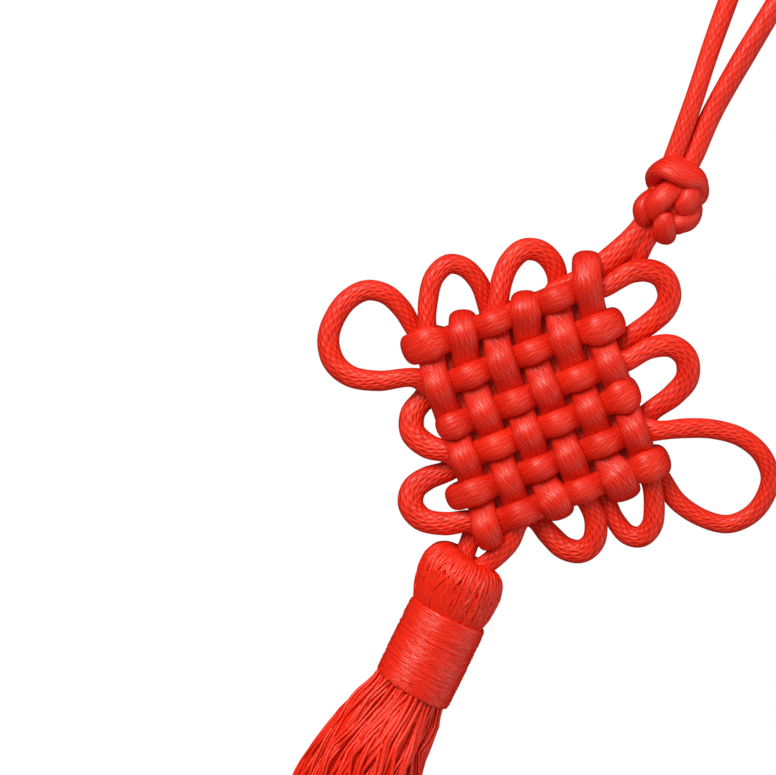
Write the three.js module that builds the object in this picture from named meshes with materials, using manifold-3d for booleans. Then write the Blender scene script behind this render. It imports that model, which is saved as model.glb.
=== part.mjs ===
// Hanging tassel pendant: one satin cord tied into a button knot and a flat woven knot of three
// rows, with eight small loops and two long ears, and a yarn tassel on its lowest loop.
// It hangs from the top of the cord loop, which is the origin. X right, Y to the back, Z up, mm.
import * as THREE from 'three';
import { mergeVertices } from 'three/addons/utils/BufferGeometryUtils.js';
import Module from 'manifold-3d';

const wasm = await Module();
wasm.setup();

// Cord
const CORD = 2.5; // diameter where the cord runs free
const HANGING_CORD = 2.4; // diameter of the hanging loop, pulled a little thinner
const GAP = 0.3; // clearance that touching pieces keep

// The flat knot: six rows of cord cross six columns, seen square on from the front
const ROW_TURN = THREE.MathUtils.degToRad(46.7); // the rows climb to the right at this angle
const COLUMNS = [-10.1, -5.8, -1.6, 2.4, 6.7, 11.0]; // each column's place along a row
const ROWS = [-12.3, -7.2, -2.1, 2.2, 6.7, 11.2]; // each row's place along a column
const LAYER = 1.9; // depth of one layer of flattened cord, four layers in all
const TOP_LAYER = 1.5 * LAYER; // from the knot's middle to a strand that shows
const UNDER_LAYER = 0.5 * LAYER; // and to a strand that passes under
const ROW_WIDTH = 2.8; // the rows are pulled tighter than the columns
const COLUMN_WIDTH = 3.4;
const STRAND_DEPTH = 2.3; // of a flattened strand, front to back
const ROW_FOLDS = [2.6, 2.3, 0.8, 1.0, 2.7, 1.8]; // how far each fold's centre line passes the last strand
const COLUMN_FOLDS = [2.0, 1.6, 1.4, 1.0, 2.2, 2.9];
const ROW_ASIDE = [-0.4, 0.35, 0, -0.15, -0.1, 0.15]; // how far each fold has slid across its strand
const COLUMN_ASIDE = [-0.3, 0, 0.45, 0.1, 0.6, -0.25];
const FOLD_SIDES = [-0.71, 0, 0.71]; // places round a fold, from front to back
const HAIRPIN_STEPS = 24; // about two to a crossing
const CORE_DEPTH = 5; // the packed middle of the knot
const CORE_MARGIN = 0.25; // how far it passes the outer strands' middles
const LAST = ROWS.length - 1;

// The tassel, on its own vertical axis
const TASSEL_X = 1.25;
const HEAD_TOP = -19.5;
const HEAD_RADIUS = 5.4;
const BINDING_TOP = -27.7;
const BINDING_BOTTOM = -38.35;
const BINDING_RADIUS = 5.1;
const BINDING_DEPTH = 0.75;
const BINDING_BANDS = 5;
const NECK_RADIUS = BINDING_RADIUS - BINDING_DEPTH - GAP;
const SKIRT_BOTTOM = -103;
const SKIRT_RADIUS = 8.2;
const LOCKS = 58;
const LOCK_WIDTH = 1.25;
const LOCK_UNEVEN = 1.5; // how much shorter a lock may end
const SKIRT_CORE_RADIUS = 5.2; // the packed roots of the skirt, down to where the locks part
const SKIRT_CORE_DEPTH = 8;
const LOCK_CURVE = 5; // places along each lock
const LOCK_ROOT = 0.6; // how far a lock reaches up into the yarn under the binding

// The hanging loop
const LOOP_TOP = 95;
const LOOP_X = 1.9;
const HANG_POINT = new THREE.Vector3(LOOP_X, 0, LOOP_TOP - HANGING_CORD);

const red = new THREE.MeshStandardMaterial({ color: 0xd8241a, roughness: 0.42, metalness: 0 });
const tasselRed = new THREE.MeshStandardMaterial({ color: 0xdc2a1c, roughness: 0.38, metalness: 0 });
const bindingRed = new THREE.MeshStandardMaterial({ color: 0xd62418, roughness: 0.33, metalness: 0 });

// A solid from a closed geometry, and back
function solid(geometry) {
  const bare = geometry.index ? geometry.toNonIndexed() : geometry.clone();
  bare.deleteAttribute('normal');
  bare.deleteAttribute('uv');
  const merged = mergeVertices(bare, 1e-4);
  return new wasm.Manifold(new wasm.Mesh({
    numProp: 3,
    vertProperties: merged.attributes.position.array,
    triVerts: Uint32Array.from(merged.index.array),
  }));
}

function geometryOf(manifold) {
  const mesh = manifold.getMesh();
  const geometry = new THREE.BufferGeometry();
  geometry.setAttribute('position', new THREE.BufferAttribute(mesh.vertProperties, 3));
  geometry.setIndex(new THREE.BufferAttribute(mesh.triVerts, 1));
  geometry.computeVertexNormals();
  return geometry;
}

const joined = (parts) => parts.reduce((whole, part) => whole.add(part));

// The outer skin alone, so that pockets sealed between packed strands are filled. Slivers shorter
// than a hundredth of a millimetre are merged away.
function filled(manifold) {
  const shells = solid(geometryOf(manifold.simplify(0.01))).decompose();
  return shells.reduce((largest, shell) => (shell.volume() > largest.volume() ? shell : largest));
}

function polygon(radius, sides) {
  const corners = Array.from({ length: sides }, (_, i) => {
    const angle = (2 * Math.PI * (i + 0.5)) / sides;
    return new THREE.Vector2(radius * Math.cos(angle), radius * Math.sin(angle));
  });
  return new THREE.Shape(corners);
}

// A cord along a smooth line through the points, flattened front to back to the given depth
function cord(points, width, depth, sides, steps) {
  const stretch = width / depth;
  const line = points.map((p) => new THREE.Vector3(p.x, p.y * stretch, p.z));
  const path = new THREE.CatmullRomCurve3(line, false, 'centripetal');
  const section = polygon(width / 2, sides);
  const geometry = new THREE.ExtrudeGeometry(section, { steps, bevelEnabled: false, extrudePath: path });
  return geometry.scale(1, 1 / stretch, 1);
}

// The columns lean to the right towards the top edge, and a little to the left below the middle
const lean = (down) => 0.022 * Math.min(0, down + 5.4) ** 2 - 0.03 * Math.max(0, down);

// A place in the knot: along is measured on a row, down on a column, depth to the back
function place(straight, down, depth) {
  const along = straight + lean(down);
  const x = along * Math.cos(ROW_TURN) + down * Math.sin(ROW_TURN);
  const z = along * Math.sin(ROW_TURN) - down * Math.cos(ROW_TURN);
  return new THREE.Vector3(x, depth, z);
}

// Rows lie on top where row + column is even, and columns where it is odd
function layerDepth(isRow, row, column) {
  const onTop = ((row + column) % 2 === 0) === isRow;
  return onTop ? TOP_LAYER : UNDER_LAYER;
}

// One strand pair: in along the front, round a fold, and out along the back.
// Even rows fold at the left and odd ones at the right; even columns fold at the bottom.
function hairpin(isRow, index) {
  const spots = isRow ? COLUMNS : ROWS;
  const foldsLow = isRow ? index % 2 === 0 : index % 2 === 1;
  const order = spots.map((_, i) => (foldsLow ? LAST - i : i));
  const at = (distance, depth, aside = 0) => (isRow
    ? place(distance, ROWS[index] + aside, depth)
    : place(COLUMNS[index] + aside, distance, depth));
  const depthAt = (i) => (isRow ? layerDepth(true, index, i) : layerDepth(false, i, index));
  const slid = (isRow ? ROW_ASIDE : COLUMN_ASIDE)[index];
  const asideAt = (i) => (i === order[LAST] ? slid : 0);
  const front = order.map((i) => at(spots[i], -depthAt(i), asideAt(i)));
  const back = [...order].reverse().map((i) => at(spots[i], depthAt(i), asideAt(i)));
  const outward = foldsLow ? -1 : 1;
  const edge = spots[order[LAST]];
  const reach = (isRow ? ROW_FOLDS : COLUMN_FOLDS)[index];
  const fold = FOLD_SIDES.map((side) =>
    at(edge + outward * reach * Math.sqrt(1 - side * side), side * TOP_LAYER, slid));
  const width = isRow ? ROW_WIDTH : COLUMN_WIDTH;
  return cord([...front, ...fold, ...back], width, STRAND_DEPTH, 5, HAIRPIN_STEPS);
}

// Where a strand pair leaves the knot, at its last crossing
const rowExit = (row) => place(row % 2 === 0 ? COLUMNS[LAST] : COLUMNS[0], ROWS[row], 0);
const columnExit = (column) => place(COLUMNS[column], column % 2 === 0 ? ROWS[0] : ROWS[LAST], 0);

// The free loops, in the cord's order. Each leaves a front strand and comes back to the next
// pair's back strand, through points given as X, Z.
const LOOPS = {
  right_upper: [rowExit(0), rowExit(2),
    [[0.9, 17.6], [3.3, 20.9], [5.5, 22.1], [7.4, 21.9], [8.9, 20.3], [9.1, 18.4], [8.2, 16], [6.7, 13.2]]],
  right_lower: [rowExit(2), rowExit(4),
    [[7.75, 10.9], [9.5, 13.4], [12, 14.8], [14.2, 14.2], [15.4, 12], [14.8, 9.3], [13.2, 6.2]]],
  right_ear: [rowExit(4), columnExit(5),
    [[15.1, 4.7], [18, 6.4], [21, 7.7], [24.5, 8.3], [27.8, 7.7], [30.2, 5.5], [30.8, 2.6], [30.1, -0.1],
      [28, -2.3], [24.7, -2.9], [21.1, -2.2], [18.4, -0.7]]],
  bottom_right: [columnExit(5), columnExit(3),
    [[17, -1.6], [18.6, -4], [19.5, -6.6], [18.9, -8.4], [17.3, -8.9], [15.2, -8], [12.6, -6.1]]],
  bottom_middle: [columnExit(3), columnExit(1),
    [[10.9, -7.2], [12.9, -9], [13.8, -11.5], [13, -13.3], [11, -13.9], [8.5, -13.2], [6, -12.2]]],
  tassel_loop: [columnExit(1), rowExit(5),
    [[4.3, -13.8], [4.4, -16], [3.7, -18.4], [2.6, -20.6], [1.3, -22.4], [0.25, -20.6], [-0.1, -18.2],
      [-0.3, -16.2]]],
  left_lower: [rowExit(5), rowExit(3),
    [[-1.3, -15.9], [-4, -17.6], [-6.8, -18.3], [-8.8, -17.3], [-9.3, -15.4], [-8.5, -13.3], [-6.5, -11.2]]],
  left_upper: [rowExit(3), rowExit(1),
    [[-7.5, -9.2], [-10.1, -9.7], [-12.5, -9], [-13.5, -7], [-13.1, -4.9]]],
  left_ear: [rowExit(1), columnExit(0),
    [[-15.4, -2.7], [-19.2, -5], [-22.6, -6], [-25.2, -5.3], [-27, -3.2], [-27.5, -0.6], [-27, 2.4],
      [-25.4, 4.5], [-23, 5.1], [-20.4, 4.3], [-18, 2.8]]],
  top_left: [columnExit(0), columnExit(2),
    [[-16.5, 3.6], [-17.9, 6.7], [-18.5, 9.7], [-17.6, 11.9], [-15.6, 12.4], [-13.1, 11.4], [-11, 9.3]]],
  top_middle: [columnExit(2), columnExit(4),
    [[-9.8, 10], [-10.7, 12.9], [-10.8, 15.5], [-9.9, 17.6], [-8, 18.3], [-5.9, 17.6], [-4.3, 15.8]]],
};

// Most loops are pressed a little flat, so they look wider than the cord
const LOOP_WIDTHS = {
  right_upper: 2.8, right_lower: 2.8, bottom_middle: 2.75, left_lower: 2.9, left_upper: 2.9, top_middle: 2.7,
};

// The two cords from the flat knot up into the button knot, through points given as X, Y, Z.
// The first runs behind the upper right loop, and the second through the topmost fold.
const NECK_CORDS = [
  [rowExit(0), [[2.2, 1.6, 20.6], [2.75, 0.9, 22.8], [2.85, 0.4, 25], [3.2, 0.2, 28.5]]],
  [columnExit(4), [[-2.1, 0.1, 17], [-0.3, 0.2, 20.3], [0.4, 0.1, 22.2], [1.15, 0.1, 24.3], [2.3, 0.1, 28.5]]],
];
const NECK_CORD = 2.8;

// The button knot: strands that show on its front, each a width and places as X, Y, Z.
// Its back is the same half turned.
const BUTTON_CENTRE = new THREE.Vector3(4.1, 0, 31);
const BUTTON_BACK_SCALE = 0.93;
const BUTTON_FRONT = [
  [3.2, [[1.8, 1.8, 32], [1, 0, 33.4], [1.9, -1.7, 34.7], [3.8, -1.9, 34.9], [5.7, -1.4, 34.6], [6.5, -0.3, 33.4],
    [6.4, 1, 32]]],
  [2.7, [[4.2, -0.9, 33.8], [3.5, -2.2, 32.5], [2.7, -2.8, 30.9], [2.3, -2.4, 29.5], [2.5, -1.1, 28.5]]],
  [2.5, [[2.2, 0.3, 31.6], [1.2, -0.6, 30.4], [1, -1.2, 29], [1.5, -1.1, 28], [2.4, -0.1, 27.4]]],
  [2.6, [[4.5, -1.2, 33.6], [5.6, -2.4, 32.8], [5.7, -2.6, 31.6], [5, -1.8, 30.4]]],
  [2.6, [[6.5, 0.2, 31.8], [6.8, -1.1, 30.9], [6.2, -1.7, 30], [5.3, -1.6, 29.5], [4.4, -0.9, 29.3]]],
  [2.6, [[3.7, -1.8, 29.2], [4.5, -2.4, 28], [5.1, -1.6, 26.9], [5, 0, 26.9]]],
];

// The hanging loop's legs, as X, Y, Z: together over the button knot, opening to a rounded top
const LOOP_LEFT = [[1.7, -0.45, 36.9], [1.05, -0.4, 43], [0.1, -0.2, 50], [-0.65, 0, 57], [-2.2, 0, 72]];
const LOOP_RIGHT = [[3.95, 0.45, 36.9], [3.75, 0.4, 43], [4.75, 0, 57], [6.3, 0, 72]];
const LOOP_BEND = 5.2; // radius of the rounded top, at the cord's middle
const LOOP_ARC = 6; // places round the top
const LOOP_STEPS = 44;

function loopStrand([start, end, via], width = CORD) {
  const lift = 0.7 * LAYER; // the loops leave in front of the middle and return behind it
  const flat = [start, ...via.map(([x, z]) => new THREE.Vector3(x, 0, z)), end];
  const points = flat.map((p, i) => {
    const share = i / (flat.length - 1);
    return new THREE.Vector3(p.x, lift * (2 * share - 1), p.z);
  });
  return cord(points, width, width, 6, Math.round(1.4 * flat.length));
}

function flatKnot(buttonKnot) {
  const strands = [];
  for (let i = 0; i <= LAST; i += 1) {
    strands.push(solid(hairpin(true, i)), solid(hairpin(false, i)));
  }
  const loops = Object.entries(LOOPS).map(([name, loop]) => solid(loopStrand(loop, LOOP_WIDTHS[name])));
  const necks = NECK_CORDS.map(([exit, via], i) => {
    const start = new THREE.Vector3(exit.x, i === 0 ? UNDER_LAYER : -UNDER_LAYER, exit.z);
    const points = [start, ...via.map((p) => new THREE.Vector3(...p))];
    return solid(cord(points, NECK_CORD, CORD, 6, 9));
  });
  const width = COLUMNS[LAST] - COLUMNS[0] + 2 * CORE_MARGIN;
  const height = ROWS[LAST] - ROWS[0] + 2 * CORE_MARGIN;
  const core = new THREE.BoxGeometry(width, CORE_DEPTH, height);
  core.rotateY(-ROW_TURN);
  const centre = place((COLUMNS[0] + COLUMNS[LAST]) / 2, (ROWS[0] + ROWS[LAST]) / 2, 0);
  core.translate(centre.x, centre.y, centre.z);
  return filled(joined([...strands, solid(core), ...loops, ...necks]).subtract(buttonKnot));
}

// The button knot's strands round a packed middle, fattened by the clearance where it cuts
function buttonKnot(extra) {
  const front = BUTTON_FRONT.map(([width, strand]) => {
    const points = strand.map((p) => new THREE.Vector3(...p));
    return cord(points, width + 2 * extra, width + 2 * extra, 6, 2 * strand.length);
  });
  const back = front.map((geometry) => {
    const { x, y, z } = BUTTON_CENTRE;
    const turned = geometry.clone().translate(-x, -y, -z).rotateZ(Math.PI);
    return turned.scale(BUTTON_BACK_SCALE, BUTTON_BACK_SCALE, 1).translate(x, y, z);
  });
  const core = new THREE.SphereGeometry(1, 10, 6);
  core.scale(2.6 + extra, 2.3 + extra, 3.9 + extra);
  core.translate(BUTTON_CENTRE.x, BUTTON_CENTRE.y, BUTTON_CENTRE.z);
  return filled(joined([solid(core), ...[...front, ...back].map(solid)]));
}

function hangingLoop() {
  const arc = [];
  const shoulder = LOOP_TOP - HANGING_CORD / 2 - LOOP_BEND;
  for (let i = 0; i <= LOOP_ARC; i += 1) {
    const angle = Math.PI * (1 - i / LOOP_ARC);
    arc.push([LOOP_X + LOOP_BEND * Math.cos(angle), 0, shoulder + LOOP_BEND * Math.sin(angle)]);
  }
  const route = [...LOOP_LEFT, ...arc, ...[...LOOP_RIGHT].reverse()];
  const points = route.map((p) => new THREE.Vector3(...p));
  return cord(points, HANGING_CORD, HANGING_CORD, 8, LOOP_STEPS);
}

// The tassel's yarn: folded over the loop into a head, bound below it, and hanging as a skirt
function tasselBody() {
  const r = HEAD_RADIUS;
  const downward = [
    [0, HEAD_TOP - 1], [0.24 * r, HEAD_TOP - 0.3], [0.5 * r, HEAD_TOP], [0.76 * r, HEAD_TOP - 0.6],
    [0.93 * r, HEAD_TOP - 1.9], [r, HEAD_TOP - 3.8], [0.985 * r, HEAD_TOP - 5.4],
    [0.9 * r, HEAD_TOP - 7.2], [0.84 * r, BINDING_TOP + GAP],
    [NECK_RADIUS, BINDING_TOP + GAP - 0.05], [NECK_RADIUS, BINDING_BOTTOM - GAP],
    [SKIRT_CORE_RADIUS, BINDING_BOTTOM - SKIRT_CORE_DEPTH], [0, BINDING_BOTTOM - SKIRT_CORE_DEPTH - 2],
  ];
  const lathe = new THREE.LatheGeometry(downward.reverse().map(([x, y]) => new THREE.Vector2(x, y)), 28);
  const whole = solid(lathe.rotateX(Math.PI / 2)).add(joined(skirtLocks())).translate([TASSEL_X, 0, 0]);
  return filled(whole.subtract(solid(loopStrand(LOOPS.tassel_loop, CORD + 2 * GAP))));
}

// Locks spread over the skirt like the seeds of a sunflower, each a three-sided strand
function skirtLocks() {
  const golden = Math.PI * (3 - Math.sqrt(5));
  const length = BINDING_BOTTOM - SKIRT_BOTTOM;
  return Array.from({ length: LOCKS }, (_, i) => {
    const share = Math.sqrt((i + 0.5) / LOCKS);
    const angle = i * golden;
    const uneven = LOCK_UNEVEN * Math.abs(Math.sin(7 * i));
    const points = Array.from({ length: LOCK_CURVE }, (_, j) => {
      const down = j / (LOCK_CURVE - 1);
      const flare = Math.sqrt(down);
      const radius = share * (NECK_RADIUS - 0.4 + (SKIRT_RADIUS - NECK_RADIUS) * Math.min(1, 1.6 * flare));
      const z = BINDING_BOTTOM + LOCK_ROOT - (length + LOCK_ROOT - uneven) * down;
      return new THREE.Vector3(radius * Math.cos(angle), radius * Math.sin(angle), z);
    });
    return solid(cord(points, LOCK_WIDTH, LOCK_WIDTH, 3, LOCK_CURVE));
  });
}

// The binding: a sleeve of wound thread with shallow bands
function binding() {
  const inner = NECK_RADIUS + GAP;
  const height = BINDING_TOP - BINDING_BOTTOM;
  const outer = Array.from({ length: 2 * BINDING_BANDS + 1 }, (_, i) => {
    const z = BINDING_BOTTOM + (height * i) / (2 * BINDING_BANDS);
    const end = i === 0 || i === 2 * BINDING_BANDS;
    const radius = BINDING_RADIUS - (end ? 0.3 : 0.1 * ((i + 1) % 2));
    return new THREE.Vector2(radius, z);
  });
  const profile = [new THREE.Vector2(inner, BINDING_BOTTOM), ...outer, new THREE.Vector2(inner, BINDING_TOP)];
  profile.push(profile[0].clone());
  return new THREE.LatheGeometry(profile, 28).rotateX(Math.PI / 2).translate(TASSEL_X, 0, 0);
}

function piece(name, geometry, material) {
  const mesh = new THREE.Mesh(geometry, material);
  mesh.name = name;
  return mesh;
}

const fatButton = buttonKnot(GAP);
const pendant = new THREE.Group();
pendant.position.copy(HANG_POINT).negate();
pendant.add(piece('hanging_loop', hangingLoop(), red));
pendant.add(piece('button_knot', geometryOf(buttonKnot(0)), red));
pendant.add(piece('woven_knot', geometryOf(flatKnot(fatButton)), red));
pendant.add(piece('tassel_yarn', geometryOf(tasselBody()), tasselRed));
pendant.add(piece('tassel_binding', binding(), bindingRed));

export default pendant;
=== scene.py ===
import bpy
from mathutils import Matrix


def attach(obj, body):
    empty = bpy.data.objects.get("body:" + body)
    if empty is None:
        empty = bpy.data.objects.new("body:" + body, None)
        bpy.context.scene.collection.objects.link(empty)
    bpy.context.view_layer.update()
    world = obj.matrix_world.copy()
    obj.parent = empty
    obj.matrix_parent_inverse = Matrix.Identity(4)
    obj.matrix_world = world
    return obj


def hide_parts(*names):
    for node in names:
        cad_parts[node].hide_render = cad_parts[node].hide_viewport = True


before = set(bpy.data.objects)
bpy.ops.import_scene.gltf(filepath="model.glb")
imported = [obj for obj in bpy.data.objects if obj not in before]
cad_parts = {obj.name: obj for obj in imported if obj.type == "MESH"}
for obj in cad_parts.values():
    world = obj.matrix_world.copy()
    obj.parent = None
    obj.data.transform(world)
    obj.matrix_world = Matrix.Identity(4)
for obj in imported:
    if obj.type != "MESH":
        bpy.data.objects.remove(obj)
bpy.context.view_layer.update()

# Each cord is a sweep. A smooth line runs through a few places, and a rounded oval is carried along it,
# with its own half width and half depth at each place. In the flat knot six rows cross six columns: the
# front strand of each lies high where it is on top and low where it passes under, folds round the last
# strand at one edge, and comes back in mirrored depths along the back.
"""A hanging pendant: one satin cord tied into a button knot and a flat woven knot, with a yarn tassel.

Each cord is a sweep. A smooth line runs through a few hand-chosen places, and a rounded oval is
carried along it, with its own half width and half depth at each place. In the flat knot six rows
cross six columns: the front strand of each lies high where it is on top and low where it passes
under, folds round the last strand at one edge, and comes back in mirrored depths along the back.
Threads of the tassel are thin sweeps over a profile turned round the tassel's axis.
Lengths are millimetres from the flat knot's middle until they are put into a mesh.
"""
import math

import bpy
import numpy as np
from mathutils import Matrix

MM = 0.001
HANG = np.array([1.9, 0.0, 92.6])  # the inside top of the hanging loop, which is the origin
rng = np.random.default_rng(7)

# The photograph
PHOTO_SIZE = (776, 775)
KNOT_PIXEL = (534.0, 411.0)  # the flat knot's middle
PIXEL = 0.125  # millimetres
ROLL = math.radians(25.7)  # how far the pendant leans to the right
ELEVATION = math.radians(5)
CAMERA_DISTANCE = 450.0
SENSOR = 36.0
WORLD_LIGHT = 0.36

# The flat knot
ROW_TURN = math.radians(46.7)
COLUMNS = [-10.1, -5.8, -1.6, 2.4, 6.7, 11.0]
ROWS = [-12.3, -7.2, -2.1, 2.2, 6.7, 11.2]
ROW_FOLDS = [2.6, 2.3, 0.8, 1.0, 2.7, 1.8]  # how far each fold passes the last strand
COLUMN_FOLDS = [2.0, 1.6, 1.4, 1.0, 2.2, 2.9]
ROW_PUFFS = [2.05, 1.95, 1.8, 2.3, 1.8, 2.1]  # half width of each strand's last crest and fold
COLUMN_PUFFS = [1.9, 1.9, 2.15, 1.95, 2.3, 1.95]
ROW_ASIDE = [-0.4, 0.35, 0.0, -0.15, -0.1, 0.15]  # how far that crest has slid across its strand
COLUMN_ASIDE = [-0.3, 0.0, 0.45, 0.1, 0.6, -0.25]
LAST = len(ROWS) - 1
LAYER = 1.9
TOP_LAYER = 1.5 * LAYER
UNDER_LAYER = 0.5 * LAYER
LOOP_LIFT = 0.7 * LAYER
CORD_RADIUS = 1.25
ROW_CREST = 1.62  # half width of a strand where it lies on top
COLUMN_CREST = 1.84
CREST_DEPTH = 1.35  # half depth there
UNDER_SIZE = (1.9, 0.85)  # half width and half depth where a strand passes under
NECK_HALF_WIDTH = 1.5
# Half width of each loop at its crown, where it isn't the cord's own
LOOP_CROWNS = {"right_upper": 1.5, "right_lower": 1.48, "right_ear": 1.17, "bottom_right": 1.32,
               "bottom_middle": 1.46, "left_lower": 1.65, "left_upper": 1.6, "left_ear": 1.35,
               "top_middle": 1.42}
# The free loops, as X and Z of the cord's middle
LOOPS = {
    "right_upper": [(0.9, 17.6), (3.3, 20.9), (5.5, 22.1), (7.4, 21.9), (8.9, 20.3), (9.1, 18.4),
                    (8.2, 16), (6.7, 13.2)],
    "right_lower": [(7.75, 10.9), (9.5, 13.4), (12, 14.8), (14.2, 14.2), (15.4, 12), (14.8, 9.3),
                    (13.2, 6.2)],
    "right_ear": [(15.1, 4.7), (18, 6.4), (21, 7.7), (24.5, 8.3), (27.75, 7.55), (30.1, 5.4),
                  (30.65, 2.55), (30, -0.1), (28, -2.3), (24.7, -3), (21, -2.45), (18.3, -0.9)],
    "bottom_right": [(17, -1.6), (18.6, -4), (19.5, -6.6), (18.9, -8.4), (17.3, -8.9), (15.2, -8),
                     (12.6, -6.1)],
    "bottom_middle": [(10.9, -7.2), (12.9, -9), (13.8, -11.5), (13, -13.3), (11, -13.9),
                      (8.5, -13.2), (6, -12.2)],
    "tassel_loop": [(4.3, -13.8), (4.4, -16), (3.7, -18.4), (2.6, -20.6), (1.3, -22.4), (0.25, -20.6),
                    (-0.1, -18.2), (-0.3, -16.2)],
    "left_lower": [(-1.3, -15.9), (-4, -17.6), (-6.8, -18.3), (-8.8, -17.3), (-9.3, -15.4),
                   (-8.4, -13.6), (-6.4, -11.5)],
    "left_upper": [(-7.5, -9.2), (-10.1, -9.7), (-12.5, -9), (-13.5, -7), (-13.1, -4.9)],
    "left_ear": [(-15.4, -2.7), (-19.2, -5), (-22.6, -6), (-25.2, -5.3), (-27, -3.2),
                 (-27.5, -0.6), (-27, 2.4), (-25.4, 4.5), (-23, 5.1), (-20.4, 4.3), (-18, 2.8)],
    "top_left": [(-16.5, 3.6), (-17.9, 6.7), (-18.5, 9.7), (-17.6, 11.9), (-15.6, 12.4),
                 (-13.1, 11.4), (-11, 9.3)],
    "top_middle": [(-9.8, 10), (-10.7, 12.9), (-10.8, 15.5), (-9.9, 17.6), (-8, 18.3),
                   (-5.9, 17.6), (-4.3, 15.8)],
}
# The cord's way through the knot: each strand pair, and the loop that follows it
CORD_ORDER = [("row", 0, "right_upper"), ("row", 2, "right_lower"), ("row", 4, "right_ear"),
              ("column", 5, "bottom_right"), ("column", 3, "bottom_middle"),
              ("column", 1, "tassel_loop"), ("row", 5, "left_lower"), ("row", 3, "left_upper"),
              ("row", 1, "left_ear"), ("column", 0, "top_left"), ("column", 2, "top_middle"),
              ("column", 4, None)]
# Between the flat knot and the button knot, as X, Y, Z; the second runs through the topmost fold
NECK_IN = [(3.3, 0.2, 29.5), (3.2, 0.2, 27), (3.1, 0.4, 25), (3.05, 0.9, 22.8), (2.5, 1.6, 20.6),
           (0.9, 2.0, 18)]
NECK_OUT = [(-3.1, -0.2, 15.6), (-2.1, 0.1, 17), (-1.1, 0.2, 18.6), (-0.2, 0.2, 20.2),
            (0.65, 0.1, 22.1), (1.5, 0.1, 24.2), (2.2, 0.1, 26.8), (2.5, 0.1, 29.5)]

# The button knot
BUTTON_CENTRE = np.array([4.1, 0.0, 31.0])
BUTTON_STRAND_DEPTH = 1.22  # half of it
BUTTON_BACK = (-0.77, -0.93, 0.85, 0.95)  # half turned and set closer, in X, Y, Z and half width
BUTTON_BACK_LIFT = 0.35
FILLER_SIZE = (2.9, 2.6, 3.7)  # half sizes in X, Y and Z of the plain lump inside
FILLER_ENDS = (27.4, 34.6)  # it is cut off before its tips
BUTTON_FRONT = [  # each strand's places as X, Y, Z and its half width there
    [(1.8, 1.8, 32, 1.5), (1.0, 0, 33.4, 1.75), (1.8, -1.75, 34.75, 2.4), (3.8, -2.15, 34.75, 2.45),
     (5.6, -1.45, 34.75, 1.8), (6.4, -0.3, 33.4, 1.4), (6.3, 1, 32, 1.3)],
    [(4.2, -0.9, 33.8, 1.4), (3.5, -2.2, 32.5, 1.45), (2.7, -2.8, 30.9, 1.5), (2.3, -2.4, 29.5, 1.45),
     (2.5, -1.1, 28.5, 1.4)],
    [(2.4, 0.3, 30.8, 1.1), (1.45, -0.6, 30.0, 1.3), (1.05, -1.2, 28.9, 1.4), (1.5, -1.1, 28, 1.4),
     (2.4, -0.1, 27.4, 1.2)],
    [(4.5, -1.2, 33.6, 1.3), (5.6, -2.4, 32.8, 1.45), (5.7, -2.6, 31.6, 1.45), (5.0, -1.8, 30.4, 1.4)],
    [(6.45, 0.2, 31.8, 1.3), (6.95, -1.0, 30.7, 1.4), (6.75, -1.5, 29.7, 1.45), (5.9, -1.6, 28.95, 1.4),
     (4.8, -0.9, 28.7, 1.4)],
    [(3.55, -1.8, 29.2, 1.4), (4.35, -2.4, 28, 1.45), (4.95, -1.6, 26.95, 1.45), (4.85, 0, 26.95, 1.4)],
]

# The hanging loop: its legs as X, Y, Z, from inside the button knot upwards
HANGING_RADIUS = 1.2
LOOP_LEFT = [(1.9, -0.5, 34.6), (1.7, -0.45, 36.9), (1.05, -0.4, 43), (0.1, -0.2, 50), (-0.65, 0, 57),
             (-2.2, 0, 72)]
LOOP_RIGHT = [(3.8, 0.4, 34.6), (3.95, 0.45, 36.9), (3.75, 0.4, 43), (4.75, 0, 57), (6.3, 0, 72)]
LOOP_TOP = 93.8  # of the cord's middle
LOOP_BEND = 5.2
RIGHT_LEG_SWELL = 0.09  # the share by which that leg is thicker

# The tassel: its head's outline on the left and on the right, as radius and height
TASSEL_X = 1.25
HEAD_LEFT = [(0.9, -21.3), (1.8, -20.1), (3.05, -19.6), (4.6, -20.2), (5.45, -21.4), (5.7, -22.7),
             (5.5, -24.4), (5.05, -26.2), (4.5, -27.6), (4.1, -28.8)]
HEAD_RIGHT = [(0.9, -21.3), (2.0, -20.8), (3.1, -20.6), (4.0, -21.0), (4.65, -21.9), (5.0, -23.3),
              (5.0, -24.8), (4.9, -26.4), (4.6, -27.6), (4.1, -28.8)]
HEAD_THREADS = 420
HEAD_FILLER_IN = 0.2  # how far the plain head inside lies under the threads
BINDING_X = 1.45
BINDING_TOP = -27.6
BINDING_BOTTOM = -38.35
BINDING_RADIUS = 5.15
BINDING_TURNS = 40
SKIRT_TOP = -36.5
SKIRT_TIED_TO = -37.5  # below this the locks begin to wave
SKIRT_WAVES_OVER = 7.0
SKIRT_FINE_TO = -60.0  # above this each thread has more places
SKIRT_BOTTOM = -103.0
SKIRT_THREADS = 600
SKIRT_LOCKS = 60
SKIRT_OUTER_FROM = 0.28  # this share of the locks fills the middle, and the rest the outside
# Radius and height
SKIRT_OUTLINE = [(4.2, -36.5), (4.55, -39), (5.55, -42), (6.6, -45.5), (7.4, -51), (7.8, -58),
                 (8.1, -72), (8.2, -103)]
# How far its middle stands to the right of the axis
SKIRT_DRIFT = [(0, -36.5), (-0.1, -39), (-0.35, -42), (-0.7, -45.5), (-0.75, -51), (-0.65, -58),
               (-0.6, -72), (-0.6, -103)]


# Lines

def between(a, b, start, end, s):
    """From a at start to b at end, in a straight line."""
    return (end - s) / (end - start) * a + (s - start) / (end - start) * b


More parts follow.
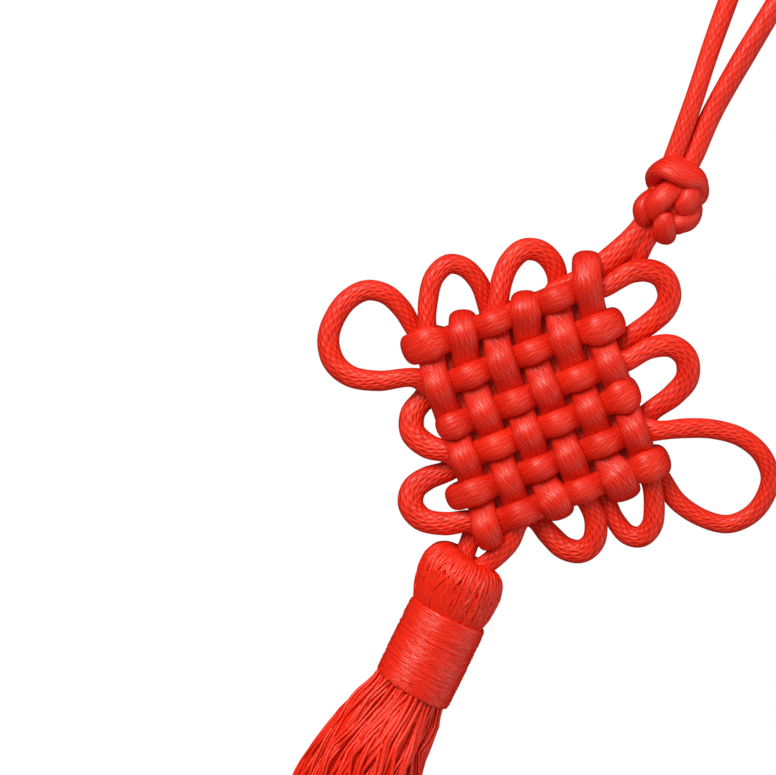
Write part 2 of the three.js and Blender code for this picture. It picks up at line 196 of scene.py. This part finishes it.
def smooth(places, spacing):
    """Even samples of a smooth line through the places, by centripetal Catmull-Rom.

    Columns 0 to 2 are the place, and the others are carried along with it."""
    places = np.asarray(places, float)
    ends = [2 * places[0] - places[1], 2 * places[-1] - places[-2]]
    p = np.vstack([ends[0], places, ends[1]])
    gaps = np.sqrt(np.linalg.norm(np.diff(p[:, :3], axis=0), axis=1)) + 1e-9
    t = np.concatenate([[0], np.cumsum(gaps)])
    line = []
    for i in range(1, len(p) - 2):
        s = np.linspace(t[i], t[i + 1], 40, endpoint=False)[:, None]
        before = between(p[i - 1], p[i], t[i - 1], t[i], s)
        here = between(p[i], p[i + 1], t[i], t[i + 1], s)
        after = between(p[i + 1], p[i + 2], t[i + 1], t[i + 2], s)
        left = between(before, here, t[i - 1], t[i + 1], s)
        right = between(here, after, t[i], t[i + 2], s)
        line.append(between(left, right, t[i], t[i + 1], s))
    line = np.vstack(line + [p[-2:-1]])
    return resample(line, spacing)


def resample(line, spacing):
    """The same line in even steps of about the spacing."""
    along = np.concatenate([[0], np.cumsum(np.linalg.norm(np.diff(line[:, :3], axis=0), axis=1))])
    count = max(3, int(round(along[-1] / spacing)) + 1)
    even = np.linspace(0, along[-1], count)
    return np.column_stack([np.interp(even, along, line[:, k]) for k in range(line.shape[1])])


def unit(v):
    return v / np.maximum(np.linalg.norm(v, axis=-1, keepdims=True), 1e-9)


def ripple(count, scale, seed):
    """Smooth noise of about unit size along a line, with features scale samples long."""
    source = np.random.default_rng(seed)
    knots = source.normal(0, 1, int(count / scale) + 4)
    return np.interp(np.arange(count) / scale, np.arange(len(knots)), knots)


# Meshes

class Surface:
    """Gathers swept tubes and grids, each with its UV and attributes, into one mesh."""

    def __init__(self):
        self.points, self.faces, self.uvs, self.extra = [], [], [], []
        self.count = 0

    def tube(self, line, wide, deep, side, sides, extra, bulge=2.2, v_turns=1.0, round_ends=0.0):
        """A rounded oval carried along a line of N places.

        Side is the direction of the half width wide. Extra holds tight and tone for each place.
        A bulge of 2 makes a plain oval, and more makes it squarer."""
        tangent = unit(np.gradient(line, axis=0))
        across = unit(side - (side * tangent).sum(1, keepdims=True) * tangent)
        for i in range(1, len(across)):
            if across[i] @ across[i - 1] < 0:
                across[i] *= -1
        out = np.cross(tangent, across)
        angle = np.linspace(0, 2 * np.pi, sides, endpoint=False)
        c, s = np.cos(angle), np.sin(angle)
        c = np.sign(c) * np.abs(c) ** (2 / bulge)
        s = np.sign(s) * np.abs(s) ** (2 / bulge)
        along = np.concatenate([[0], np.cumsum(np.linalg.norm(np.diff(line, axis=0), axis=1))])
        if round_ends:
            near = np.clip(np.minimum(along, along[-1] - along) / round_ends, 0.02, 1)
            shrink = np.sqrt(1 - (1 - near) ** 2)
            wide, deep = wide * shrink, deep * shrink
        grid = (line[:, None] + across[:, None] * (wide[:, None] * c)[..., None]
                + out[:, None] * (deep[:, None] * s)[..., None])
        self.grid(grid, along, np.linspace(0, v_turns, sides + 1), extra, caps=True)

    def grid(self, grid, along, around, extra, caps=False):
        """Closed rings of places, joined each to the next; along and around are their UV."""
        rings, sides = grid.shape[:2]
        i, j = np.meshgrid(np.arange(rings - 1), np.arange(sides), indexing="ij")
        k = (j + 1) % sides
        quads = np.stack([i * sides + j, i * sides + k, (i + 1) * sides + k, (i + 1) * sides + j], -1)
        uv = np.stack([np.stack([along[i], around[j]], -1), np.stack([along[i], around[j + 1]], -1),
                       np.stack([along[i + 1], around[j + 1]], -1),
                       np.stack([along[i + 1], around[j]], -1)], 2)
        self.points.append(grid.reshape(-1, 3))
        self.extra.append(np.repeat(extra, sides, axis=0))
        self.faces += (quads.reshape(-1, 4) + self.count).tolist()
        self.uvs.append(uv.reshape(-1, 2))
        if caps:
            first = list(range(self.count + sides - 1, self.count - 1, -1))
            last = list(range(self.count + (rings - 1) * sides, self.count + rings * sides))
            self.faces += [first, last]
            self.uvs += [np.column_stack([np.full(sides, along[end]), around[:sides]]) for end in (0, -1)]
        self.count += rings * sides

    def build(self, name, material, replaced):
        mesh = bpy.data.meshes.new(name)
        points = (np.vstack(self.points) - HANG) * MM
        mesh.from_pydata(points.tolist(), [], self.faces)
        layer = mesh.uv_layers.new(name="UVMap")
        layer.data.foreach_set("uv", np.vstack(self.uvs).astype(np.float32).ravel())
        extra = np.vstack(self.extra)
        for k, label in enumerate(("tight", "tone")):
            attribute = mesh.attributes.new(label, "FLOAT", "POINT")
            attribute.data.foreach_set("value", extra[:, k].astype(np.float32))
        mesh.shade_smooth()
        mesh.materials.append(material)
        piece = bpy.data.objects.new(name, mesh)
        bpy.context.scene.collection.objects.link(piece)
        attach(piece, "root")
        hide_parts(replaced)
        return piece


# Shader maths

class Value:
    """A shader number. Arithmetic on it adds maths nodes to its tree."""

    def __init__(self, tree, socket):
        self.tree, self.socket = tree, socket

    def math(self, operation, *others):
        node = self.tree.nodes.new("ShaderNodeMath")
        node.operation = operation
        for socket, value in zip(node.inputs, (self, *others)):
            if isinstance(value, Value):
                self.tree.links.new(value.socket, socket)
            else:
                socket.default_value = value
        return Value(self.tree, node.outputs[0])

    def __add__(self, other):
        return self.math("ADD", other)

    def __sub__(self, other):
        return self.math("SUBTRACT", other)

    def __mul__(self, other):
        return self.math("MULTIPLY", other)

    def __pow__(self, other):
        return self.math("POWER", other)

    def __rsub__(self, other):
        return (self * -1.0) + other

    __radd__, __rmul__ = __add__, __mul__

    def floor(self):
        return self.math("FLOOR")

    def fract(self):
        return self.math("FRACT")

    def cos(self):
        return self.math("COSINE")

    def clamp(self):
        return self.math("MAXIMUM", 0.0).math("MINIMUM", 1.0)

    def odd(self):
        """1 for an odd whole number, 0 for an even one."""
        return (self * 0.5).fract() * 2.0

    def mix(self, other, share):
        return self * (1.0 - share) + other * share


class Shader:
    """A material with its Principled shader, and short ways to read coordinates and add nodes."""

    def __init__(self, name):
        self.material = bpy.data.materials.new(name)
        self.material.use_nodes = True
        self.tree = self.material.node_tree
        self.bsdf = self.tree.nodes["Principled BSDF"]

    def node(self, kind, links=None, output=0, **settings):
        """Any node: links are its inputs, settings its properties or default inputs."""
        node = self.tree.nodes.new(kind)
        for key, value in settings.items():
            setattr(node, key, value)
        for key, value in (links or {}).items():
            self.put(node.inputs[key], value)
        return Value(self.tree, node.outputs[output])

    def put(self, socket, value):
        if isinstance(value, Value):
            self.tree.links.new(value.socket, socket)
        else:
            socket.default_value = value

    def uv(self):
        """Millimetres along the cord or thread, and turns round it."""
        uv_map = self.node("ShaderNodeUVMap", uv_map="UVMap")
        outputs = self.node("ShaderNodeSeparateXYZ", {"Vector": uv_map}).socket.node.outputs
        return Value(self.tree, outputs[0]), Value(self.tree, outputs[1])

    def attribute(self, name):
        return self.node("ShaderNodeAttribute", output=2, attribute_name=name)

    def noise(self, scale, detail=2.0):
        place = self.node("ShaderNodeTexCoord", output=3)
        return self.node("ShaderNodeTexNoise", {"Vector": place, "Scale": scale, "Detail": detail})

    def blend(self, dark, bright, share):
        return self.node("ShaderNodeMix", {0: share, 6: (*dark, 1), 7: (*bright, 1)}, output=2,
                         data_type="RGBA")

    def bump(self, height, depth_mm):
        return self.node("ShaderNodeBump", {"Height": height, "Distance": depth_mm * MM})

    def finish(self, **inputs):
        for key, value in inputs.items():
            self.put(self.bsdf.inputs[key.replace("_", " ")], value)
        return self.material


# Dark and bright ends of the cords' and threads' colours. Between them lie random tone and painted light:
# painted shade in grooves and gaps, and painted highlight on crowns.
DEEP_RED = (0.5, 0.003, 0.001)
BRIGHT_RED = (0.93, 0.022, 0.003)
SILK_SHADE = (0.68, 0.006, 0.001)
SILK_RED = (0.86, 0.022, 0.003)
GLOSS_TINT = (1.0, 0.5, 0.36, 1)


def stitches(shader, along, around, columns, length, slant):
    """Brick-laid dashes, alternate columns half a length on: their height, and a random number each."""
    column = around * float(columns)
    odd = column.floor().odd()
    across = column.fract() - 0.5
    run = along * (1 / length) + odd * 0.5 + across * slant * (1.0 - 2.0 * odd)
    down = run.fract() - 0.5
    height = (across * math.pi).cos().clamp() * (down * math.pi).cos().clamp()
    cell = shader.node("ShaderNodeCombineXYZ", {"X": column.floor(), "Y": run.floor()})
    return height, shader.node("ShaderNodeTexWhiteNoise", {"Vector": cell})


def satin_cord(name, twist=0.03):
    """Braided satin cord: short dashes where it runs free, fine long filaments where it is pulled tight.

    The filaments shift round the cord by twist turns for each millimetre along it."""
    shader = Shader(name)
    along, around = shader.uv()
    tight = shader.attribute("tight").clamp()
    waver = shader.noise(900.0)
    braid, braid_seed = stitches(shader, along, around + along * 0.02, columns=22, length=1.4, slant=0.2)
    filaments, seed = stitches(shader, along + waver * 0.6, around + along * twist + waver * 0.02,
                               columns=40, length=1.5, slant=0.6)
    height = (1.0 - braid ** 1.2).mix(filaments ** 0.7, tight)
    tone = shader.attribute("tone")
    random = braid_seed.mix(seed, tight)
    # Painted highlight and painted shade: the colour is lighter on the crown of each dash or filament and
    # darker in the grooves between them. The random part varies from dash to dash, and the tone along the
    # cord.
    share = (height * 0.8 + random * 0.35 + (tone - 0.5) * 0.3 - 0.05).clamp()
    return shader.finish(
        Base_Color=shader.blend(DEEP_RED, BRIGHT_RED, share),
        Roughness=0.5 - height * 0.1,
        Normal=shader.bump((height + random * 0.2) * (1.0 - tight * 0.5), 0.1),
        Specular_Tint=GLOSS_TINT, Specular_IOR_Level=0.55,
        Coat_Weight=(height * (0.25 + random * 0.6) * (tight * 0.5 + 0.5)).clamp(),
        Coat_Roughness=0.38, Coat_IOR=1.6)


def silk_thread(name, ply, gloss):
    """Glossy thread: colour varies from thread to thread, with a fine slanting ply.

    The slant repeats every ply millimetres along the thread."""
    shader = Shader(name)
    along, around = shader.uv()
    tone = shader.attribute("tone")
    twist = ((along * (1 / ply) + around * 2.0).fract() - 0.5) * math.pi
    height = twist.cos().clamp()
    # The ply's crests are painted a little lighter and its grooves darker: painted highlight and painted
    # shade. The tone varies from thread to thread, and on the head it also holds painted shade.
    share = (tone * 0.65 + shader.noise(300.0) * 0.25 + height * 0.2).clamp()
    return shader.finish(
        Base_Color=shader.blend(SILK_SHADE, SILK_RED, share),
        Roughness=0.37 - tone * 0.05,
        Normal=shader.bump(height, 0.015),
        Specular_Tint=GLOSS_TINT, Specular_IOR_Level=0.5,
        Coat_Weight=(tone * gloss).clamp(), Coat_Roughness=0.36, Coat_IOR=1.5)


# The flat knot

def lean(down):
    """The columns lean to the right at the top edge and a little to the left at the bottom."""
    return 0.022 * min(0.0, down + 5.4) ** 2 - 0.03 * max(0.0, down)


def place(along, down, depth):
    """A place in the flat knot: along is measured on a row, down on a column, depth to the back."""
    along = along + lean(down)
    x = along * math.cos(ROW_TURN) + down * math.sin(ROW_TURN)
    z = along * math.sin(ROW_TURN) - down * math.cos(ROW_TURN)
    return (x, depth, z)


def strand_pair(is_row, index):
    """In along the back, round the fold, and out along the front.

    Each station is X, Y, Z, half width, half depth and how tight the cord is pulled."""
    spots = COLUMNS if is_row else ROWS
    folds_low = index % 2 == (0 if is_row else 1)
    order = list(range(LAST, -1, -1)) if folds_low else list(range(LAST + 1))
    reach = (ROW_FOLDS if is_row else COLUMN_FOLDS)[index]
    puff = (ROW_PUFFS if is_row else COLUMN_PUFFS)[index]
    slid = (ROW_ASIDE if is_row else COLUMN_ASIDE)[index]
    crest_width = ROW_CREST if is_row else COLUMN_CREST

    def at(distance, depth, aside=0.0):
        if is_row:
            return place(distance, ROWS[index] + aside, depth)
        return place(COLUMNS[index] + aside, distance, depth)

    def leg(face):
        stations = []
        for step, i in enumerate(order):
            last = step == LAST
            on_top = ((i + index) % 2 == 0) == is_row
            depth = TOP_LAYER if on_top else UNDER_LAYER
            size = (puff if last else crest_width, CREST_DEPTH) if on_top else UNDER_SIZE
            if step:
                middle = 0.5 * (spots[i] + spots[order[step - 1]])
                stations.append((*at(middle, face * 0.9 * LAYER), 0.95 * crest_width, 1.05, 1))
            stations.append((*at(spots[i], face * depth, slid * last), *size, 1))
        return stations

    outward = -1 if folds_low else 1
    edge = spots[order[-1]]
    fold = []
    for turn in np.radians([60, 30, 0, -30, -60]):
        distance = edge + outward * reach * math.cos(turn)
        fold.append((*at(distance, TOP_LAYER * math.sin(turn), slid), 0.94 * puff, 1.3, 1))
    return leg(1) + fold + leg(-1)[::-1]


def free_loop(name):
    """The loop's places, sliding from in front of the middle to behind it, and widest at its crown."""
    via, crown = LOOPS[name], LOOP_CROWNS.get(name, CORD_RADIUS)
    count = len(via)
    stations = []
    for i, (x, z) in enumerate(via):
        t = (i + 1) / (count + 1)
        wide = CORD_RADIUS + (crown - CORD_RADIUS) * math.sin(math.pi * t)
        stations.append((x, LOOP_LIFT * (2 * t - 1), z, wide, 0.97 * CORD_RADIUS, 0))
    return stations


def woven_knot(material):
    """One cord through the whole knot, with both its cords up to the button knot."""
    stations = [(*p, NECK_HALF_WIDTH, CORD_RADIUS, 0) for p in NECK_IN]
    for kind, index, loop in CORD_ORDER:
        stations += strand_pair(kind == "row", index)
        if loop:
            stations += free_loop(loop)
    stations += [(*p, NECK_HALF_WIDTH, CORD_RADIUS, 0) for p in NECK_OUT]
    path = smooth(stations, 0.36)
    line, wide, deep, tight = path[:, :3], path[:, 3], path[:, 4], path[:, 5]
    tangent = unit(np.gradient(line, axis=0))
    side = np.cross(tangent, [0.0, 1.0, 0.0])
    steep = np.linalg.norm(side, axis=1) < 0.45  # where the cord runs front to back
    side = unit(side)
    flat = np.flatnonzero(~steep)
    for i in np.flatnonzero(steep):
        side[i] = side[flat[np.argmin(np.abs(flat - i))]]
    wide = wide * (1 + 0.03 * ripple(len(line), 14, 3))
    deep = deep * (1 + 0.03 * ripple(len(line), 14, 4))
    tone = 0.5 + 0.25 * ripple(len(line), 30, 5)
    surface = Surface()
    surface.tube(line, wide, deep, side, 24, np.column_stack([tight, tone]), bulge=2.3, round_ends=1.0)
    knot_middle(surface)
    return surface.build("woven_knot_cord", material, "woven_knot")


def knot_middle(surface):
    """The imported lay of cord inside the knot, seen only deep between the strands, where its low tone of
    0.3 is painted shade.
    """
    steps = 26
    middle = 0.5 * (ROWS[0] + ROWS[-1])
    stretch = np.linspace(COLUMNS[0] - 0.6, COLUMNS[-1] + 0.9, steps)
    line = np.array([place(along, middle, 0) for along in stretch])
    half = 0.5 * (ROWS[-1] - ROWS[0]) + 0.9
    side = np.tile([math.sin(ROW_TURN), 0, -math.cos(ROW_TURN)], (steps, 1))
    surface.tube(line, np.full(steps, half), np.full(steps, 0.9), side, 32,
                 np.column_stack([np.ones(steps), np.full(steps, 0.3)]), bulge=6, v_turns=8)


# The button knot

def button_knot(material):
    """Strand passes in front, the same half turned behind, and a plain lump inside."""
    surface = Surface()
    centre = np.append(BUTTON_CENTRE, 0)
    fronts = [np.array(strand, float) for strand in BUTTON_FRONT]
    lift = [0, 0, BUTTON_BACK_LIFT, 0]
    backs = [(strand - centre) * BUTTON_BACK + centre + lift for strand in fronts]
    for k, strand in enumerate(fronts + backs):
        path = smooth(strand, 0.25)
        line, count = path[:, :3], len(path)
        side = np.cross(unit(np.gradient(line, axis=0)), unit(line - BUTTON_CENTRE))
        wide = path[:, 3] * (1 + 0.02 * ripple(count, 8, 20 + k))
        extra = np.column_stack([np.full(count, 0.85), 0.5 + 0.2 * ripple(count, 12, 40 + k)])
        deep = np.full(count, BUTTON_STRAND_DEPTH)
        surface.tube(line, wide, deep, side, 24, extra, round_ends=0.9)
    steps = 18
    middle = np.tile(BUTTON_CENTRE, (steps, 1))
    middle[:, 2] = np.linspace(*FILLER_ENDS, steps)
    bulk = np.sqrt(np.clip(1 - ((middle[:, 2] - BUTTON_CENTRE[2]) / FILLER_SIZE[2]) ** 2, 0.02, 1))
    # The lump's tone of 0.4, a little under the strands', is painted shade where it shows in the holes
    # between them.
    surface.tube(middle, FILLER_SIZE[0] * bulk, FILLER_SIZE[1] * bulk, np.tile([1.0, 0, 0], (steps, 1)), 20,
                 np.column_stack([np.ones(steps), np.full(steps, 0.4)]))
    return surface.build("button_knot_cord", material, "button_knot")


# The hanging loop

def hanging_loop(material):
    """Up one leg, round the top and down the other, as one free cord."""
    shoulder = LOOP_TOP - LOOP_BEND
    arc = [(HANG[0] + LOOP_BEND * math.cos(a), 0, shoulder + LOOP_BEND * math.sin(a))
           for a in np.linspace(math.pi, 0, 9)]
    route = LOOP_LEFT + arc + LOOP_RIGHT[::-1]
    line = smooth(route, 0.4)
    side = np.cross(unit(np.gradient(line, axis=0)), [0.0, 1.0, 0.0])
    count = len(line)
    right_leg = np.clip(line[:, 0] - 2.5, 0, 1)  # 0 on the left leg, 1 on the right
    radius = HANGING_RADIUS * (1 + 0.02 * ripple(count, 16, 9) + RIGHT_LEG_SWELL * right_leg)
    surface = Surface()
    extra = np.column_stack([np.full(count, 0.15), 0.5 + 0.2 * ripple(count, 30, 11)])
    surface.tube(line, radius, 0.97 * radius, side, 24, extra, bulge=2.0)
    cord = surface.build("hanging_cord", material, "hanging_loop")
    return cord


# The tassel

def around_axis(angle, radius, height, drift=0.0):
    """Places round the tassel's axis."""
    return np.column_stack([TASSEL_X + drift + radius * np.cos(angle), radius * np.sin(angle), height])


def head_outline(angle, steps):
    """Radius and height down the head at an angle, blended from its left and right outlines."""
    share = 0.5 * (1 + np.cos(angle))
    left = smooth([(r, 0, z) for r, z in HEAD_LEFT], 0.05)
    right = smooth([(r, 0, z) for r, z in HEAD_RIGHT], 0.05)
    t = np.linspace(0, 1, steps)
    (left_radius, left_height), (right_radius, right_height) = [
        [np.interp(t, np.linspace(0, 1, len(side)), side[:, k]) for k in (0, 2)] for side in (left, right)]
    radius = left_radius * (1 - share) + right_radius * share
    return radius, left_height * (1 - share) + right_height * share


def tassel_head(material):
    """Threads that lean a little each way, laid over a plain head."""
    surface = Surface()
    steps = 24
    for k in range(HEAD_THREADS):
        start = 2 * math.pi * (k + rng.uniform(-0.4, 0.4)) / HEAD_THREADS
        t = np.linspace(0, 1, steps)
        lean_by = rng.normal(0.05, 0.42)
        angle = start + lean_by * (t - 0.45) + 0.035 * ripple(steps, 4, 900 + k)
        radius, height = head_outline(angle, steps)
        lift = rng.uniform(-0.28, 0.12) + 0.05 * ripple(steps, 4, 60 + k)  # some threads lie deeper
        line = around_axis(angle, radius + lift, height + 0.5 * lift)
        thick = rng.uniform(0.16, 0.2)
        side = np.cross(unit(np.gradient(line, axis=0)), [0, 0, 1.0]) + [1e-4, 1e-4, 0]
        shade = 0.55 * np.exp(-(((1 - t) / 0.16) ** 2)) + 0.7 * np.exp(-((t / 0.26) ** 2))
        tone = rng.uniform(0.5, 1) * (1 - shade)  # painted shade: darker where the loop goes in at the top and just above the binding
        surface.tube(line, np.full(steps, thick * 1.3), np.full(steps, thick), side, 5,
                     np.column_stack([np.zeros(steps), tone]), bulge=2.0)
    rings = []
    for angle in np.linspace(0, 2 * math.pi, 48, endpoint=False):
        radius, height = head_outline(np.full(steps, angle), steps)
        radius, height = radius - HEAD_FILLER_IN, height - 0.5 * HEAD_FILLER_IN
        rings.append(around_axis(np.full(steps, angle), radius, height))
    surface.grid(np.stack(rings, 1), np.arange(steps) * 0.4, np.linspace(0, 30, 49),
                 np.column_stack([np.zeros(steps), np.full(steps, 0.5)]), caps=True)
    return surface.build("tassel_head_threads", material, "tassel_yarn")


def tassel_skirt(material):
    """Threads gather into wavy locks, and the locks fill a flaring round bundle."""
    surface = Surface()
    golden = math.pi * (3 - math.sqrt(5))
    steps = 32
    heights = np.concatenate([np.linspace(SKIRT_TOP, SKIRT_FINE_TO, 20, endpoint=False),
                              np.linspace(SKIRT_FINE_TO, SKIRT_BOTTOM, 12)])
    outline = smooth([(r, 0, z) for r, z in SKIRT_OUTLINE], 0.2)
    drift = np.interp(-heights, [-z for _, z in SKIRT_DRIFT], [d for d, _ in SKIRT_DRIFT])
    reach = np.interp(-heights, -outline[:, 2], outline[:, 0])
    t = np.linspace(0, 1, steps)
    gather = np.clip((SKIRT_TIED_TO - heights) / SKIRT_WAVES_OVER, 0, 1)
    for lock in range(SKIRT_LOCKS):
        rank = (lock + 0.5) / SKIRT_LOCKS
        past = (rank - SKIRT_OUTER_FROM) / (1 - SKIRT_OUTER_FROM)
        share = 2.6 * rank if past < 0 else 0.8 + 0.2 * past
        angle = lock * golden
        wave = 0.5 * ripple(steps, 3.5, 500 + lock) * gather
        weave = 0.28 * ripple(steps, 4, 700 + lock) * gather
        centre_radius = reach * (share * 0.93) + weave
        swing = angle + wave / np.maximum(centre_radius, 1)
        shorter = rng.uniform(0, 1.5)
        for k in range(SKIRT_THREADS // SKIRT_LOCKS):
            out, about = 0.72 * math.sqrt((k + 0.5) * SKIRT_LOCKS / SKIRT_THREADS), k * golden
            spread = 1.1 - 0.3 * gather + 0.6 * t
            twist = about + 7 * t * math.sin(lock)
            radius = centre_radius + out * spread * np.cos(twist) + rng.normal(0, 0.05)
            turn = swing + out * spread * np.sin(twist) / np.maximum(centre_radius, 1.5)
            turn = turn + 0.03 * gather * ripple(steps, 2.5, 2000 + 40 * lock + k)
            end = SKIRT_BOTTOM + shorter + rng.exponential(0.4)
            z = SKIRT_TOP + (heights - SKIRT_TOP) * (end - SKIRT_TOP) / (SKIRT_BOTTOM - SKIRT_TOP)
            line = around_axis(turn, radius, z, drift)
            thick = rng.uniform(0.19, 0.26)
            side = np.tile([math.sin(angle), -math.cos(angle), 0.0], (steps, 1))
            tone = np.full(steps, rng.uniform(0.55, 1))
            surface.tube(line, np.full(steps, thick * 1.2), np.full(steps, thick), side, 4,
                         np.column_stack([np.zeros(steps), tone]), bulge=2.0)
    core = np.column_stack([TASSEL_X + drift, 0 * heights, heights + 2 * t])
    closing = np.sqrt(np.clip((heights - SKIRT_BOTTOM - 2) / 12, 0.01, 1))
    inside = 0.85 * reach * closing
    surface.tube(core, inside, inside, np.tile([1.0, 0, 0], (steps, 1)), 40,
                 np.column_stack([np.zeros(steps), np.full(steps, 0.75)]), bulge=2.0, v_turns=60)
    return surface.build("tassel_skirt_threads", material, "tassel_yarn")


def tassel_binding(material):
    """Close turns of thread: a sleeve whose radius swells once for each turn, unevenly."""
    per_turn, around = 6, 160
    rings = BINDING_TURNS * per_turn + 1
    t = np.linspace(0, 1, rings)
    angle = np.linspace(0, 2 * math.pi, around, endpoint=False)
    pitch = (BINDING_TOP - BINDING_BOTTOM) / BINDING_TURNS
    turn = t[:, None] * BINDING_TURNS + angle[None] / (2 * math.pi)
    swell = np.abs(np.sin(math.pi * turn)) ** 0.7
    source = np.random.default_rng(17)
    uneven = source.normal(0, 1, BINDING_TURNS + 3)
    each = np.interp(turn, np.arange(len(uneven)) + 0.5, uneven)
    sag = 0.05 * np.sin(2 * angle[None] + 0.63 * turn) + 0.03 * source.normal(0, 1, (rings, 1))
    phase = np.interp(turn, np.arange(BINDING_TURNS + 3) + 0.5, source.uniform(0, 9, BINDING_TURNS + 3))
    ragged = 0.035 * np.sin(9 * angle[None] + 3 * phase) + 0.02 * np.sin(19 * angle[None] - 5 * phase)
    ends = 0.35 * np.exp(-t / 0.02) + 0.35 * np.exp(-(1 - t) / 0.02)  # drawn in at both ends
    radius = BINDING_RADIUS - 0.07 + 0.08 * swell + 0.02 * each + ragged - ends[:, None]
    tilt = -0.35 * np.cos(angle)[None] * (1 - t[:, None])
    height = BINDING_BOTTOM + t[:, None] * (BINDING_TOP - BINDING_BOTTOM) + pitch * sag + tilt
    grid = np.stack([BINDING_X + radius * np.cos(angle), radius * np.sin(angle), height], -1)
    surface = Surface()
    tone = 0.6 + 0.12 * np.interp(t * BINDING_TURNS, np.arange(len(uneven)), uneven)
    surface.grid(grid, t * 10, np.linspace(0, 60, around + 1), np.column_stack([t * 0, tone]), caps=True)
    return surface.build("binding_thread", material, "tassel_binding")


# Surroundings

def camera():
    """The photograph's view: rolled by the pendant's lean, and looking a little down on it."""
    dx = PHOTO_SIZE[0] / 2 - KNOT_PIXEL[0]
    dy = PHOTO_SIZE[1] / 2 - KNOT_PIXEL[1]
    c, s = math.cos(ROLL), math.sin(ROLL)
    forward = np.array([0, math.cos(ELEVATION), -math.sin(ELEVATION)])
    level, upright = np.array([1.0, 0, 0]), np.array([0, math.sin(ELEVATION), math.cos(ELEVATION)])
    right, up = c * level + s * upright, -s * level + c * upright
    aim = PIXEL * (dx * right - dy * up)
    eye = (aim - CAMERA_DISTANCE * forward - HANG) * MM
    data = bpy.data.cameras.new("camera")
    data.sensor_width = SENSOR
    data.lens = SENSOR * CAMERA_DISTANCE / (PHOTO_SIZE[0] * PIXEL)
    data.clip_start = 0.01
    view = bpy.data.objects.new("camera", data)
    turn = Matrix([[*row] for row in np.column_stack([right, up, -forward])]).to_4x4()
    view.matrix_world = Matrix.Translation(eye.tolist()) @ turn
    bpy.context.scene.collection.objects.link(view)
    bpy.context.scene.camera = view


def light(name, azimuth, elevation, distance, size, watts):
    """A square soft light that looks at the flat knot. Azimuth 0 is the camera's side."""
    data = bpy.data.lights.new(name, "AREA")
    data.size = size
    data.energy = watts
    lamp = bpy.data.objects.new(name, data)
    a, e = math.radians(azimuth), math.radians(elevation)
    out = np.array([math.sin(a) * math.cos(e), -math.cos(a) * math.cos(e), math.sin(e)])
    level = np.array([math.cos(a), math.sin(a), 0])
    upright = np.cross(out, level)
    turn = Matrix([[*row] for row in np.column_stack([level, upright, out])]).to_4x4()
    lamp.matrix_world = Matrix.Translation((out * distance - HANG * MM).tolist()) @ turn
    bpy.context.scene.collection.objects.link(lamp)


def studio():
    """White all round, with a key light on the left, a fill on the right and a small one from above."""
    world = bpy.data.worlds.new("studio")
    bpy.context.scene.world = world
    world.use_nodes = True
    nodes, links = world.node_tree.nodes, world.node_tree.links
    background = nodes["Background"]
    background.inputs["Color"].default_value = (1, 1, 1, 1)
    seen = nodes.new("ShaderNodeLightPath")  # plain white where the camera looks past the pendant
    level = nodes.new("ShaderNodeMapRange")
    level.inputs["To Min"].default_value = WORLD_LIGHT
    level.inputs["To Max"].default_value = 1.0
    links.new(seen.outputs["Is Camera Ray"], level.inputs["Value"])
    links.new(level.outputs["Result"], background.inputs["Strength"])
    world.cycles_visibility.glossy = False  # only the lamps shine in the satin
    light("key", azimuth=-40, elevation=26, distance=0.6, size=0.36, watts=4.0)
    light("fill", azimuth=74, elevation=5, distance=0.6, size=0.9, watts=2.0)
    light("top", azimuth=-20, elevation=80, distance=0.7, size=0.4, watts=1.0)
    bpy.context.scene.view_settings.view_transform = "Standard"


camera()
yarn_material = silk_thread("tassel_silk", ply=0.8, gloss=0.55)
hanging_loop(satin_cord("hanging_satin_cord"))
button_knot(satin_cord("button_satin_cord", twist=-0.02))
woven_knot(satin_cord("knotted_satin_cord"))
tassel_head(yarn_material)
tassel_skirt(yarn_material)
tassel_binding(silk_thread("wound_silk", ply=0.6, gloss=0.8))
studio()
